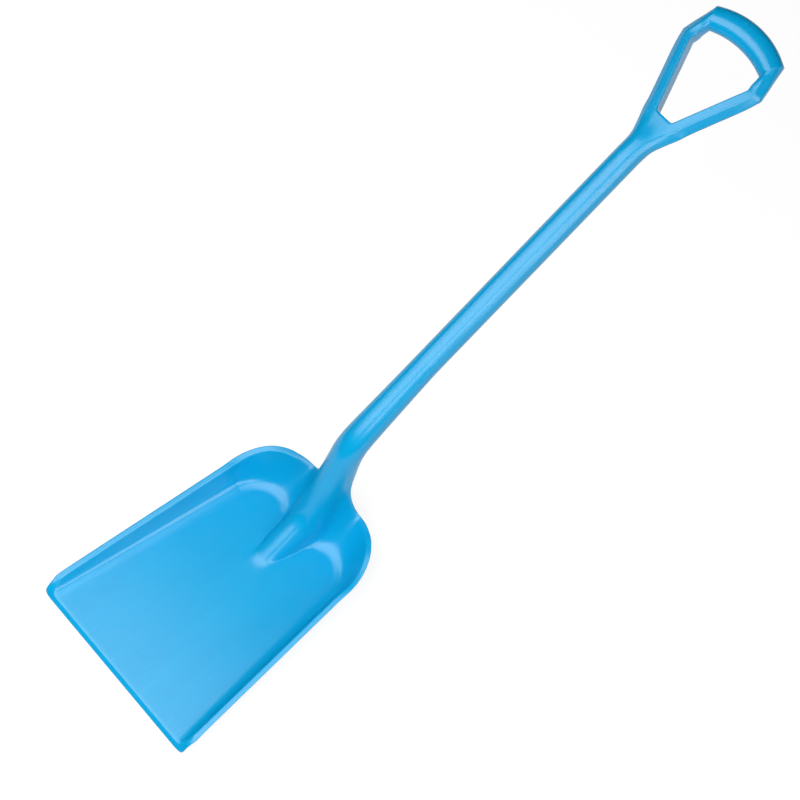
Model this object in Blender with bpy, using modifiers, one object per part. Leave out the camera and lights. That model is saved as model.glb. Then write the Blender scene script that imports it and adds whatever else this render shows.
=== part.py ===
"""Snow shovel: a moulded scoop blade, a tube shaft and a D-shaped grip, pushed and bonded together.

The blade lies flat on z = 0. X runs across the blade, Y from its front edge to the grip, Z up.
Sizes are in millimetres and angles in degrees.
"""

from math import atan, atan2, cos, hypot, pi, radians, sin, sqrt, tan

import bmesh
import bpy
from mathutils import Matrix, Vector

MM = 0.001
FIT_GAP = 0.3

# Blade pan. Half widths are at the front edge and at the line of the rear rim.
BLADE_LENGTH = 335.0
RIM_HALF_FRONT = 128.3
RIM_HALF_REAR = 97.0
FLOOR_HALF_FRONT = 120.8
FLOOR_HALF_REAR = 84.0
FLOOR_THICK = 4.0
RIM_WIDTH = 7.0
RIM_RISE_FRONT = 10.2
RIM_RISE_REAR = 33.5
RIM_RISE_SHOULDER = 41.0
RIM_RISE_VALLEY = 28.5
REAR_RUN = 40.7
RIM_CORNER = 70.0
FLOOR_CORNER = 42.0
FILLET_FRONT = 5.0
FILLET_REAR = 20.0
EDGE_RAKE = 33.0
NOSE_FLARE = 7.0
NOSE_FULLNESS = 0.55
ORIGIN_BACK = 150.0

# Ridge on the floor and the neck that grows out of it.
RIDGE_LENGTH = 123.0
RIDGE_HALF_TOE = 14.0
RIDGE_HALF = 25.4
RIDGE_FILLET = 4.5
RIDGE_LOW = 16.0
RIDGE_LOW_HEIGHT = 5.5
RIDGE_BEND = 70.0
RIDGE_BEND_HEIGHT = 29.0
TOE_RADIUS = 21.0
TOE_BASE_HALF = 13.2
TOE_BASE_DEPTH = 10.0
TOE_BASE_RISE = 2.6
BEND_BACK = 34.2
BEND_HEIGHT = 137.7
BEND_REACH = 57.0
NECK_SLOPE = 57.0
NECK_DIAMETER = 35.6
NECK_ROOT_RISE = 64.0
SOCKET_REACH = 118.0

# Shaft.
SHAFT_LIFT = 27.4
SHAFT_DIAMETER = 31.0
SHAFT_EXPOSED = 325.0
SPIGOT_DIAMETER = 23.6
SPIGOT_LENGTH = 48.0
GRIP_SPIGOT_LENGTH = 24.0
SPIGOT_CHAMFER = 1.5
SHAFT_BORE = 16.0

# Grip. Lengths run along the shaft from the mouth of the yoke's socket.
GRIP_SOCKET = 27.0
GRIP_DROOP = 6.5
DROOP_FROM = 8.0
WEB_TOP = 61.2
WEB_HALF = 12.6
ARM_SPREAD = 21.8
ARM_WIDTH = 16.8
ARM_RISE = 85.3
MITRE_RISE = 20.7
ARM_INNER_THICK = 12.0
ARM_CREASE = 9.0
CREASE_SHARE = 0.52
ARM_EDGE = 2.2
BAR_INNER_HALF = 41.0
BAR_RADIUS = 112.0
BAR_WIDTH = 33.4
BAR_CROWN = 0.7
BAR_THICK = 25.0
BAR_END_WIDTH = 30.0
SHOULDER_HALF = 63.8
SHOULDER_RISE = 87.6
TENON_DIAMETER = 9.0
TENON_LENGTH = 8.0

for old in list(bpy.data.objects):
    bpy.data.objects.remove(old)

parts = bpy.data.collections.new("snow_shovel")
helpers = bpy.data.collections.new("cutters")
bpy.context.scene.collection.children.link(parts)
bpy.context.scene.collection.children.link(helpers)


def mix(a, b, t):
    return a + (b - a) * t


def spread(a, b, t):
    return tuple(mix(p, q, t) for p, q in zip(a, b))


def put(vert, point):
    vert.co = Vector(point) * MM


def plastic(name, colour, roughness):
    material = bpy.data.materials.new(name)
    material.use_nodes = True
    shader = material.node_tree.nodes["Principled BSDF"]
    shader.inputs["Base Color"].default_value = (*colour, 1.0)
    shader.inputs["Roughness"].default_value = roughness
    return material


def add_object(name, bm, material=None, helper=False):
    mesh = bpy.data.meshes.new(name)
    bm.to_mesh(mesh)
    bm.free()
    obj = bpy.data.objects.new(name, mesh)
    if helper:
        helpers.objects.link(obj)
        obj.hide_render = True
        obj.display_type = "WIRE"
    else:
        parts.objects.link(obj)
        mesh.materials.append(material)
    return obj


def add_empty(name, location, turn, parent=None):
    empty = bpy.data.objects.new(name, None)
    parts.objects.link(empty)
    empty.location = Vector(location) * MM
    empty.rotation_euler = (radians(turn), 0.0, 0.0)
    empty.parent = parent
    return empty


def add_boolean(obj, other, operation="DIFFERENCE"):
    modifier = obj.modifiers.new(other.name, "BOOLEAN")
    modifier.operation = operation
    modifier.solver = "EXACT"
    modifier.object = other


def mirror_and_round(obj, levels=1):
    mirror = obj.modifiers.new("mirror", "MIRROR")
    mirror.use_axis = (True, False, False)
    mirror.merge_threshold = 0.00005
    rounding = obj.modifiers.new("rounding", "SUBSURF")
    rounding.levels = levels
    rounding.render_levels = levels


def grow(bm, chain):
    """Extrudes the edges along a chain of vertices and gives the new chain in the same order."""
    edges = [bm.edges.get(pair) for pair in zip(chain, chain[1:])]
    bmesh.ops.extrude_edge_only(bm, edges=edges)
    old = set(chain)
    twins = []
    for vert in chain:
        links = [edge.other_vert(vert) for edge in vert.link_edges if edge not in edges]
        twins.append(next(v for v in links if v not in old and v.co == vert.co))
    return twins


def grid(bm, rows, columns):
    made = bmesh.ops.create_grid(bm, x_segments=rows, y_segments=columns, size=1.0)["verts"]
    return {(round((v.co.x + 1) / 2 * rows), round((v.co.y + 1) / 2 * columns)): v for v in made}


def new_cage():
    """An empty mesh for a rounded cage, with room for the sharpness of its edges and corners."""
    bm = bmesh.new()
    bm.edges.layers.float.new("crease_edge")
    bm.verts.layers.float.new("crease_vert")
    return bm


def pin_corners(bm, verts, amount):
    layer = bm.verts.layers.float["crease_vert"]
    for vert in verts:
        vert[layer] = amount


def crease(bm, chain, amount):
    layer = bm.edges.layers.float["crease_edge"]
    for pair in zip(chain, chain[1:]):
        bm.edges.get(pair)[layer] = amount


def close_skins(bm, upper, lower):
    """Joins the borders of two skins by one strip of faces and turns all faces outwards."""
    for a, b, c, d in zip(upper, upper[1:], lower[1:], lower):
        bm.faces.new((a, b, c, d))
    bmesh.ops.recalc_face_normals(bm, faces=bm.faces)
    lowest = min(bm.faces, key=lambda face: face.calc_center_median().z)
    if lowest.normal.z > 0:
        bmesh.ops.reverse_faces(bm, faces=bm.faces)


# The neck's centre line in the YZ plane: a straight foot, a bend and the line of the shaft.
rear = BLADE_LENGTH - ORIGIN_BACK
front = -ORIGIN_BACK
bend = (rear + BEND_BACK, FLOOR_THICK + BEND_HEIGHT)
foot_way = (cos(radians(NECK_SLOPE)), sin(radians(NECK_SLOPE)))
shaft_way = (cos(radians(SHAFT_LIFT)), sin(radians(SHAFT_LIFT)))
bend_from = (bend[0] - BEND_REACH * foot_way[0], bend[1] - BEND_REACH * foot_way[1])
bend_to = (bend[0] + BEND_REACH * shaft_way[0], bend[1] + BEND_REACH * shaft_way[1])


def neck_station(turn, along=0.0):
    """Centre and direction at a share of the bend, or at a distance along the shaft past the bend."""
    if along:
        return (bend[0] + along * shaft_way[0], bend[1] + along * shaft_way[1]), shaft_way
    first = spread(bend_from, bend, turn)
    second = spread(bend, bend_to, turn)
    way = (second[0] - first[0], second[1] - first[1])
    size = hypot(*way)
    return spread(first, second, turn), (way[0] / size, way[1] / size)


def tube_point(station, radius, angle):
    """A point on the round neck, with the angle counted from its upper line."""
    (y, z), (dy, dz) = station
    across = radius * sin(radians(angle))
    up = radius * cos(radians(angle))
    return (across, y - dz * up, z + dy * up)


def swell(sides):
    """A rounded cage pulls a ring of so many sides in, so its points stand out by this share."""
    return 3 / (2 + cos(2 * pi / sides))


NECK_SIDES = 18
neck_columns = [
    (neck_station(0.12), NECK_DIAMETER / 2),
    (neck_station(0.42), mix(NECK_DIAMETER, SHAFT_DIAMETER, 0.12) / 2),
    (neck_station(0.76), mix(NECK_DIAMETER, SHAFT_DIAMETER, 0.36) / 2),
    (neck_station(0, BEND_REACH + 10), mix(NECK_DIAMETER, SHAFT_DIAMETER, 0.72) / 2),
    (neck_station(0, SOCKET_REACH - 22), SHAFT_DIAMETER / 2),
    (neck_station(0, SOCKET_REACH - 2), SHAFT_DIAMETER / 2),
    (neck_station(0, SOCKET_REACH), SHAFT_DIAMETER / 2),
]

# Blade cage: rows cross the pan from its middle line, columns run from the front edge to the rear.
ROWS, COLUMNS, TOE = 8, 11, 5
RIDGE_ROWS = 4
ARC_SHARES = (0.02, 0.24, 0.47, 0.69, 0.90)
BACK_ROW_HALF = 39.0
ARC_SWELL = 1.02
toe_y = rear - RIDGE_LENGTH
side_shares = (0.0, 0.10, 0.24, 0.38)
foot_shares = (0.0, 0.10, 0.195, 0.325, 0.44, 0.53, 0.595, 0.70, 0.853, 1.0)
crest_shares = (0.0, 0.0, 0.11, 0.44, 0.72, 0.917, 1.06, 1.28, 1.57, 1.87)


def bevel_y(z):
    """Where the raked plane of the front edge is at this height."""
    return front + z / tan(radians(EDGE_RAKE))


front_columns = (
    bevel_y(FLOOR_THICK),
    front + 31.0,
    mix(front, toe_y, 0.28),
    mix(front, toe_y, 0.52),
    mix(front, toe_y, 0.78),
)


def rise_at(y, share=None):
    """Height of the rim above the floor, along the side or at a share of the rear corner."""
    if share is None or share < 0.1:
        return mix(RIM_RISE_FRONT, RIM_RISE_REAR, (y - front) / (BLADE_LENGTH - 61.0))
    if share < 0.3:
        return mix(RIM_RISE_REAR, RIM_RISE_SHOULDER, 0.5)
    if share < 0.5:
        return RIM_RISE_SHOULDER
    if share < 0.8:
        return mix(RIM_RISE_SHOULDER, RIM_RISE_VALLEY, 0.55)
    return RIM_RISE_VALLEY


floor_rear = rear - REAR_RUN
ring_lines = [
    (FLOOR_HALF_FRONT - FILLET_FRONT, FLOOR_HALF_REAR - FILLET_REAR, floor_rear - 14.3, FLOOR_CORNER - 12.0),
    (FLOOR_HALF_FRONT, FLOOR_HALF_REAR, floor_rear, FLOOR_CORNER),
    (RIM_HALF_FRONT, RIM_HALF_REAR, rear, RIM_CORNER),
]
ring_lines.insert(2, spread(ring_lines[1], ring_lines[2], 0.55))
ring_offsets = (0.0, 4.0, RIM_WIDTH - 0.6, RIM_WIDTH)
ring_heights = (0.0, 0.0, 0.55, 1.0)


def ring_points(step, outer):
    """One ring of the pan from the front edge round the corner to the row beside the neck."""
    half_front, half_rear, line_y, radius = ring_lines[step]
    if outer:
        half_front += ring_offsets[step]
        half_rear += ring_offsets[step]
        line_y += ring_offsets[step]
        radius += ring_offsets[step]
    taper = atan((half_front - half_rear) / BLADE_LENGTH)

    def side_x(y):
        return mix(half_front, half_rear, (y - front) / BLADE_LENGTH)

    def height(y, share=None):
        base = 0.0 if outer and step < 2 else FLOOR_THICK
        return base + ring_heights[step] * rise_at(y, share)

    base = 0.0 if outer and step < 2 else FLOOR_THICK
    cut_z = base + ring_heights[step] * RIM_RISE_FRONT
    cut_y = mix(bevel_y(cut_z), front, NOSE_FULLNESS if outer and step == 2 else 0.0)
    points = [(side_x(cut_y) + (NOSE_FLARE if outer and step == 1 else 0.0), cut_y, cut_z)]
    points += [(side_x(y), y, height(y)) for y in front_columns[1:]]
    for share in side_shares:
        y = toe_y + RIDGE_LENGTH * share
        points.append((side_x(y), y, height(y)))
    centre_y = line_y - radius
    radius *= ARC_SWELL
    centre_x = side_x(centre_y) - radius / ARC_SWELL / cos(taper)
    for share in ARC_SHARES:
        angle = mix(taper, pi / 2, share)
        y = centre_y + radius * sin(angle)
        points.append((centre_x + radius * cos(angle), y, height(y, share)))
    points.append((BACK_ROW_HALF, line_y, height(line_y, 1.0)))
    return points


crest_end = tube_point(neck_station(0.0), NECK_DIAMETER / 2, 0)[1:]
back_end = tube_point(neck_station(0.0), NECK_DIAMETER / 2, 180)[1:]
crest_low = (toe_y + RIDGE_LOW, FLOOR_THICK + RIDGE_LOW_HEIGHT)
crest_bend = (toe_y + RIDGE_BEND, FLOOR_THICK + RIDGE_BEND_HEIGHT)
toe_centre = toe_y + 18.0
back_curve = (
    (floor_rear + 10.0, 0.0),
    (back_end[0] - 34.0 * foot_way[0], back_end[1] - 34.0 * foot_way[1]),
    back_end,
)


def bezier(points, t):
    while len(points) > 1:
        points = [spread(a, b, t) for a, b in zip(points, points[1:])]
    return points[0]


def ridge_half(share):
    """Half width of the ridge at its foot, narrowing again where it turns into the neck."""
    half = mix(RIDGE_HALF_TOE, RIDGE_HALF, min(1.0, max(0.0, share - 0.18) / 0.5) ** 0.6)
    return mix(half, NECK_DIAMETER / 2 + 2.0, max(0.0, share - 0.70) / 0.30)


def toe_point(row, station):
    """A point of the round toe: its outer line on the floor, or the base of its steep front."""
    turn = radians(22.0 * row)
    if station == 0:
        return (TOE_RADIUS * sin(turn), toe_centre - TOE_RADIUS * cos(turn), FLOOR_THICK)
    rise = TOE_BASE_RISE * (1 - (row / RIDGE_ROWS) ** 1.5)
    return (TOE_BASE_HALF * sin(turn), toe_centre - TOE_BASE_DEPTH * cos(turn), FLOOR_THICK + rise)


def ridge_point(row, station, outer):
    """A point on the ridge and the root of the neck, on its upper or its back skin."""
    share = foot_shares[station]
    lift = max(0.0, share - 0.60) / 0.40
    half = ridge_half(share)
    foot = (toe_y + RIDGE_LENGTH * share, FLOOR_THICK + NECK_ROOT_RISE * lift ** 1.6)
    angle = pi / 2 * row / RIDGE_ROWS
    if outer:
        y = foot[0] + 6.0 * lift
        if share < 0.75:
            return (half * sin(angle), y, 0.0)
        knee = (share - 0.75) / 0.25
        side = (y, max(0.0, mix(-6.0, foot[1] - 3.0, knee)))
        return (half * sin(angle), *spread(side, bezier(back_curve, 0.86 * knee), cos(angle)))
    if station < 2:
        return toe_point(row, station)
    along = crest_shares[station]
    crest = spread(crest_low, crest_bend, along) if along < 1 else spread(crest_bend, crest_end, along - 1)
    return (half * sin(angle), *spread(foot, crest, cos(angle)))


def blade_skin(bm, outer):
    """One skin of half the blade, with its border in order from the front edge to the socket mouth."""
    cells = grid(bm, ROWS, COLUMNS)
    rings = [ring_points(step, outer) for step in range(4)]
    base = 0.0 if outer else FLOOR_THICK
    for (i, j), vert in cells.items():
        if j == COLUMNS:
            continue
        if j < TOE:
            y = front if outer and j == 0 else front_columns[j]
            foot = (TOE_RADIUS * i / RIDGE_ROWS, y, base)
        else:
            foot = ridge_point(min(i, RIDGE_ROWS), j - TOE, outer)
        if i > RIDGE_ROWS:
            near = (TOE_RADIUS + 6.0 if j < TOE else foot[0] + RIDGE_FILLET, foot[1], base)
            foot = spread(near, rings[0][j], (i - RIDGE_ROWS - 1) / (ROWS - RIDGE_ROWS - 1))
        put(vert, foot)
    chain = [cells[ROWS, j] for j in range(COLUMNS + 1)]
    chain += [cells[i, COLUMNS] for i in range(ROWS - 1, -1, -1)]
    chains = [chain]
    for step in range(4):
        if step:
            chain = grow(bm, chain)
            chains.append(chain)
        points = list(rings[step])
        station = COLUMNS - TOE + step
        points += [ridge_point(row, station, outer) for row in range(RIDGE_ROWS, -1, -1)]
        for vert, point in zip(chain, points):
            put(vert, point)
    border = [cells[i, 0] for i in range(ROWS)] + [ring[0] for ring in chains] + chain[1:-RIDGE_ROWS]
    rim_length = len(chain) - RIDGE_ROWS
    tongue = chain[-RIDGE_ROWS - 1 :]
    for station, radius in neck_columns:
        tongue = grow(bm, tongue)
        border.append(tongue[0])
        for row, vert in zip(range(RIDGE_ROWS, -1, -1), tongue):
            angle = 360 / NECK_SIDES * row
            put(vert, tube_point(station, radius * swell(NECK_SIDES), 180 - angle if outer else angle))
    border += tongue[1:]
    crease(bm, [cells[i, 0] for i in range(ROWS + 1)] + [ring[0] for ring in chains[1:]] + [chain[1]], 0.7)
    pin_corners(bm, [chain[0]], 0.7)
    crease(bm, chain[1 : rim_length - 3], 0.5)
    crease(bm, chain[rim_length - 4 : rim_length - 1], 0.45)
    crease(bm, tongue, 1.0)
    if not outer:
        crease(bm, [cells[RIDGE_ROWS, j] for j in range(TOE + 1, COLUMNS)], 0.5)
    return border


def add_blade(material):
    bm = new_cage()
    upper = blade_skin(bm, False)
    lower = blade_skin(bm, True)
    close_skins(bm, upper, lower)
    crease(bm, [upper[-RIDGE_ROWS - 1], lower[-RIDGE_ROWS - 1]], 1.0)
    obj = add_object("blade", bm, material)
    mirror_and_round(obj)
    return obj


def rod(name, radius, start, end, line, x=0.0):
    """A round cutter or tenon along the local Y axis of an empty."""
    bm = bmesh.new()
    bmesh.ops.create_cone(
        bm, cap_ends=True, segments=32, radius1=radius * MM, radius2=radius * MM, depth=(end - start) * MM
    )
    obj = add_object(name, bm, helper=True)
    obj.parent = line
    obj.location = (x * MM, (start + end) / 2 * MM, 0.0)
    obj.rotation_euler = (-pi / 2, 0.0, 0.0)
    return obj


yoke_start = SOCKET_REACH + SHAFT_EXPOSED
droop_at = yoke_start + DROOP_FROM


def add_shaft(line, material):
    """A turned tube: the bore, both spigots with their chamfers, and the full body between them."""
    bm = bmesh.new()
    bore = SHAFT_BORE / 2
    thin = SPIGOT_DIAMETER / 2
    full = SHAFT_DIAMETER / 2
    low = SOCKET_REACH + FIT_GAP
    high = yoke_start - FIT_GAP
    profile = [
        (bore, low - SPIGOT_LENGTH),
        (thin - SPIGOT_CHAMFER, low - SPIGOT_LENGTH),
        (thin, low - SPIGOT_LENGTH + SPIGOT_CHAMFER),
        (thin, low),
        (full, low),
        (full, high),
        (thin, high),
        (thin, high + GRIP_SPIGOT_LENGTH - SPIGOT_CHAMFER),
        (thin - SPIGOT_CHAMFER, high + GRIP_SPIGOT_LENGTH),
        (bore, high + GRIP_SPIGOT_LENGTH),
    ]
    verts = [bm.verts.new(Vector((x, 0.0, z)) * MM) for x, z in profile]
    for a, b in zip(verts, verts[1:] + verts[:1]):
        bm.edges.new((a, b))
    obj = add_object("shaft", bm, material)
    screw = obj.modifiers.new("turning", "SCREW")
    screw.axis = "Z"
    screw.steps = 56
    screw.render_steps = 56
    screw.use_merge_vertices = True
    screw.merge_threshold = 0.00001
    screw.use_normal_calculate = True
    screw.use_normal_flip = True
    obj.parent = line
    obj.rotation_euler = (-pi / 2, 0.0, 0.0)
    return obj


def droop(x, s, n):
    """A point of the grip in the shaft's frame, with the plane of the grip turned down a little."""
    if s <= droop_at:
        return (x, s, n)
    turn = radians(GRIP_DROOP)
    along = s - droop_at
    return (x, droop_at + along * cos(turn) + n * sin(turn), n * cos(turn) - along * sin(turn))


spread_way = (sin(radians(ARM_SPREAD)), cos(radians(ARM_SPREAD)))
arm_from = (WEB_HALF, yoke_start + WEB_TOP)
bar_inner = (BAR_INNER_HALF, yoke_start + WEB_TOP + ARM_RISE + MITRE_RISE)
bar_end_x = BAR_INNER_HALF / (1 - BAR_END_WIDTH / (2 * BAR_RADIUS))
mitre_way = (bar_end_x / BAR_RADIUS, sqrt(1 - (bar_end_x / BAR_RADIUS) ** 2))
mitre_end = (bar_inner[0] + BAR_END_WIDTH * mitre_way[0], bar_inner[1] + BAR_END_WIDTH * mitre_way[1])
bar_end_s = (bar_inner[1] + mitre_end[1]) / 2
bar_centre = bar_end_s - BAR_RADIUS * mitre_way[1]
bar_reach = atan2(mitre_way[0], mitre_way[1])
BAR_SIDES = 6
YOKE_SIDES = 14


def bar_point(angle, corner, slim):
    """A corner of the bar's six-sided cage at this angle along its arc, in the plane of the grip."""
    turn = 2 * pi * (corner + 0.5) / BAR_SIDES
    width = mix(BAR_WIDTH, BAR_END_WIDTH, slim)
    reach = BAR_RADIUS + BAR_CROWN * (1 - slim) - width / 2 * swell(BAR_SIDES) * cos(turn)
    high = BAR_THICK / 2 * swell(BAR_SIDES) * sin(turn)
    return (reach * sin(angle), bar_centre + reach * cos(angle), high)


def arm_edges(rise):
    """Inner and outer edge of the straight arm at this height above its start."""
    inner = (arm_from[0] + spread_way[0] / spread_way[1] * rise, arm_from[1] + rise)
    outer = (inner[0] + ARM_WIDTH * spread_way[1], inner[1] - ARM_WIDTH * spread_way[0])
    return inner, outer


def yoke_skin(bm, side):
    """The upper (side 1) or lower (side -1) skin of half the yoke and its border in order."""
    rows, columns = 3, 5
    cells = grid(bm, rows, columns)
    radius = SHAFT_DIAMETER / 2 * swell(YOKE_SIDES)
    web_end = yoke_start + WEB_TOP
    slope = spread_way[0] / spread_way[1]
    outer = arm_edges(0.0)[1]
    socket_end = yoke_start + GRIP_SOCKET
    columns_at = [yoke_start + along for along in (0.0, 3.0, GRIP_SOCKET - 2.0)]
    columns_at += [socket_end + 12.0, socket_end + 23.0, web_end]
    for (i, j), vert in cells.items():
        s = columns_at[j]
        angle = radians(360 / YOKE_SIDES * i)
        place = (radius * sin(angle), s, radius * cos(angle))
        if j > 2:
            side_x = outer[0] + slope * (s - outer[1])
            crest_x = mix(WEB_HALF, 0.42 * radius, (web_end - s) / (web_end - socket_end))
            flare = [
                (0.0, s, ARM_INNER_THICK),
                (crest_x, s, ARM_INNER_THICK),
                (mix(crest_x, side_x, CREASE_SHARE), s - 1.5, ARM_CREASE),
                (side_x, s - 3.0, ARM_EDGE),
            ]
            place = spread(flare[i], (flare[i][0], flare[i][1], place[2]), (0.62, 0.25, 0.0)[j - 3])
        put(vert, droop(place[0], place[1], side * place[2]))
    chain = [cells[i, columns] for i in (1, 2, 3)]
    border_in, border_out = [cells[0, columns], chain[0]], [cells[3, j] for j in range(columns + 1)]
    ridge_line = [cells[2, columns - 1], chain[1]]
    shoulder = (arm_edges(ARM_RISE)[0], (SHOULDER_HALF, arm_from[1] + SHOULDER_RISE))
    mitre = [bar_point(bar_reach, corner, 1.0) for corner in (0, 1, 2)]
    stations = [arm_edges(rise * ARM_RISE) for rise in (0.10, 0.38, 0.68, 0.90)]
    stations = [(*inner, *outer, 0.0) for inner, outer in stations]
    stations.append((*shoulder[0], *shoulder[1], 0.1))
    stations.append((*spread(shoulder[0], mitre[0], 0.55), *spread(shoulder[1], mitre[2], 0.55), 0.6))
    for in_x, in_s, out_x, out_s, blend in stations:
        chain = grow(bm, chain)
        put(chain[0], droop(in_x, in_s, side * mix(ARM_INNER_THICK, mitre[0][2], blend)))
        middle = spread((in_x, in_s), (out_x, out_s), CREASE_SHARE)
        put(chain[1], droop(*middle, side * mix(ARM_CREASE, mitre[1][2], blend)))
        put(chain[2], droop(out_x, out_s, side * mix(ARM_EDGE, mitre[2][2], blend)))
        border_in.append(chain[0])
        border_out.append(chain[2])
        ridge_line.append(chain[1])
    chain = grow(bm, chain)
    for vert, (x, s, n) in zip(chain, mitre):
        put(vert, droop(x, s, side * n))
    border_in.append(chain[0])
    border_out.append(chain[2])
    mouth = [cells[i, 0] for i in range(rows + 1)]
    crease(bm, mouth, 1.0)
    crease(bm, border_in[:-1], 0.65)
    crease(bm, border_out[4:-1], 0.4)
    crease(bm, ridge_line, 0.5)
    pin_corners(bm, [border_in[1], border_in[6], border_out[-3]], 0.8)
    crease(bm, chain, 1.0)
    return mouth[:-1] + border_out + [chain[1]] + border_in[::-1]


def add_yoke(line, material):
    bm = new_cage()
    upper = yoke_skin(bm, 1)
    lower = yoke_skin(bm, -1)
    close_skins(bm, upper, lower)
    crease(bm, [upper[3], lower[3]], 1.0)
    mitre_in, mitre_out = len(upper) - 9, len(upper) - 11
    crease(bm, [upper[mitre_in], lower[mitre_in]], 1.0)
    crease(bm, [upper[mitre_out], lower[mitre_out]], 1.0)
    obj = add_object("grip_yoke", bm, material)
    obj.parent = line
    mirror_and_round(obj)
    return obj


def add_bar(line, material):
    """The curved grip: an oval cage carried along an arc from its middle to the mitred end."""
    bm = new_cage()
    ring = bmesh.ops.create_circle(bm, segments=BAR_SIDES, radius=1.0, cap_ends=False)["verts"]
    steps = 6
    for step in range(steps + 1):
        share = step / steps
        angle = share * (bar_reach - FIT_GAP / BAR_RADIUS)
        if step:
            ring = grow(bm, ring + ring[:1])[:-1]
        for corner, vert in enumerate(ring):
            put(vert, droop(*bar_point(angle, corner, share ** 2)))
    crease(bm, ring + ring[:1], 1.0)
    bmesh.ops.contextual_create(bm, geom=ring)
    bmesh.ops.recalc_face_normals(bm, faces=bm.faces)
    obj = add_object("grip_bar", bm, material)
    obj.parent = line
    mirror_and_round(obj, 2)
    return obj


bpy.context.view_layer.update()
blue = plastic("blade_plastic", (0.004, 0.30, 0.68), 0.38)
blade = add_blade(blue)
shaft_line = add_empty("shaft_line", (0.0, *bend), SHAFT_LIFT)
shaft = add_shaft(shaft_line, plastic("shaft_plastic", (0.004, 0.30, 0.68), 0.36))
yoke = add_yoke(shaft_line, plastic("yoke_plastic", (0.004, 0.30, 0.68), 0.40))
bore_radius = SPIGOT_DIAMETER / 2 + FIT_GAP
blade_bore_start = SOCKET_REACH - SPIGOT_LENGTH
yoke_bore_end = yoke_start + GRIP_SPIGOT_LENGTH
add_boolean(blade, rod("blade_bore", bore_radius, blade_bore_start, SOCKET_REACH + 5.0, shaft_line))
add_boolean(yoke, rod("yoke_bore", bore_radius, yoke_start - 5.0, yoke_bore_end, shaft_line))
grip_plane = add_empty("grip_plane", (0.0, droop_at, 0.0), -GRIP_DROOP, shaft_line)
bar = add_bar(shaft_line, plastic("bar_plastic", (0.004, 0.30, 0.68), 0.40))
tenon_at = bar_end_s - droop_at
for side, x in (("right", bar_end_x), ("left", -bar_end_x)):
    tenon = rod(f"tenon_{side}", TENON_DIAMETER / 2, tenon_at - TENON_LENGTH, tenon_at + 6.0, grip_plane, x)
    add_boolean(bar, tenon, "UNION")
    hole_end = tenon_at - TENON_LENGTH - FIT_GAP
    hole = rod(f"hole_{side}", TENON_DIAMETER / 2 + FIT_GAP, hole_end, tenon_at + 8.0, grip_plane, x)
    add_boolean(yoke, hole)
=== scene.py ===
"""Looks of the snow shovel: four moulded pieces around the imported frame, in satin blue plastic.

Pieces are modelled in millimetres and scaled to metres when their mesh is made. X runs across the
blade, Y from its front edge to the grip, Z up, as in the frame.
"""

from math import atan, atan2, cos, hypot, pi, radians, sin, sqrt, tan

import bmesh
import bpy
from mathutils import Matrix, Quaternion, Vector


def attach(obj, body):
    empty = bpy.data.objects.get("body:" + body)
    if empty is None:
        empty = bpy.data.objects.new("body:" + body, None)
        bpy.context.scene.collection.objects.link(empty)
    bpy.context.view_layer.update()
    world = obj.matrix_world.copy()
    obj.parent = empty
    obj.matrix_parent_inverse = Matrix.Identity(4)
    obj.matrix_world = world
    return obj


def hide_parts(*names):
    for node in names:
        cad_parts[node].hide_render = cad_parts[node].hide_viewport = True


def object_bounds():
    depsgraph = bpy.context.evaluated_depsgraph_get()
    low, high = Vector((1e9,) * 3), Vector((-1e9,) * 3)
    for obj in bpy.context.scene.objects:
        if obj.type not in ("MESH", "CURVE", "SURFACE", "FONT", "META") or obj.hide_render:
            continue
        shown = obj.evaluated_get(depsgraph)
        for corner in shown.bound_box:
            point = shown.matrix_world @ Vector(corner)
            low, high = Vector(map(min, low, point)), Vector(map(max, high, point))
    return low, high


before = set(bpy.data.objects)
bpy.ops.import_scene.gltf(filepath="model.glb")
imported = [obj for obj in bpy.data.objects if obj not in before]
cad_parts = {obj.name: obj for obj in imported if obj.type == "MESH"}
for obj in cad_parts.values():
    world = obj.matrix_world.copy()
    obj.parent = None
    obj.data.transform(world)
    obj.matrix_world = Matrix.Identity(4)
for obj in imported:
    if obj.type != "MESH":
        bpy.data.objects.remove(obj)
cad_low, cad_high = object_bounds()

MM = 0.001
SEAM = 0.05

# Blade pan. Half widths are at the front edge and at the line of the rear rim.
BLADE_LENGTH = 335.0
RIM_HALF_FRONT = 128.2
RIM_HALF_REAR = 97.0
FLOOR_HALF_FRONT = 120.8
FLOOR_HALF_REAR = 84.0
FLOOR_THICK = 4.0
RIM_WIDTH = 7.0
RIM_TILT = 1.8
RIM_RISE_FRONT = 10.2
RIM_RISE_REAR = 33.5
RIM_RISE_SHOULDER = 41.0
RIM_RISE_VALLEY = 28.5
REAR_RUN = 40.7
RIM_CORNER = 70.0
FLOOR_CORNER = 42.0
FILLET_FRONT = 10.0
FILLET_REAR = 20.0
EDGE_RAKE = 33.0
NOSE_FLARE = 7.0
NOSE_FULLNESS = 0.55
ORIGIN_BACK = 150.0
NOSE_RUN = 31.0
SIDE_RUN = BLADE_LENGTH - 61.0
COVE_RUN = 14.3
COVE_CORNER = 12.0

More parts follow.
